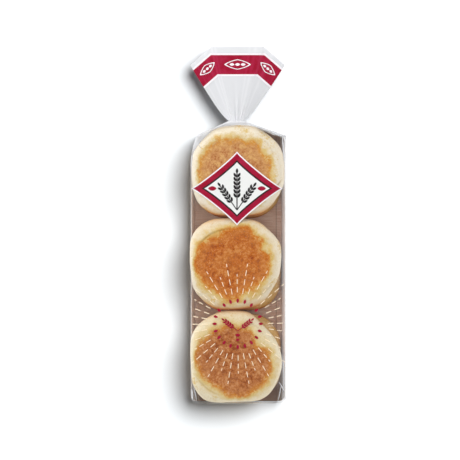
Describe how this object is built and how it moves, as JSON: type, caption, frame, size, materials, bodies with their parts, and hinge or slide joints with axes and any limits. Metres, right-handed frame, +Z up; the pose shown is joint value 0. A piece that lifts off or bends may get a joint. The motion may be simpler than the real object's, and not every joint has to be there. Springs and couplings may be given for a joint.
{
  "type": "bag of english muffins",
  "caption": "Sealed clear film bag of round griddled muffins in a card tray, tight over the stacks, gathered at the neck and flared at the top, lying on its back.",
  "frame": {"origin": "centre of the bounding box's underside, in the plane that the bag rests on", "axes": "+Z up, the way the muffins' shown faces look; +Y along the bag from its closed end to its flared top; +X to the right as seen from above with the flared top away from the viewer"},
  "size_m": [0.0938, 0.348, 0.0492],
  "materials": {
    "filled_bag": null,
    "film": "clear thin film, glossy, slightly milky where it lies in layers",
    "muffin": "matt bread: pale cream floury sides, mottled golden-brown griddled faces",
    "card": "matt grey-brown recycled card",
    "crimson_ink": "printed film, glossy crimson",
    "white_ink": "printed film, glossy white",
    "black_ink": "printed film, glossy black",
    "grey_ink": "printed film, glossy pale grey",
    "cream_ink": "printed film, glossy cream"
  },
  "bodies": {
    "root": {"bag": "filled_bag"}
  },
  "joints": []
}
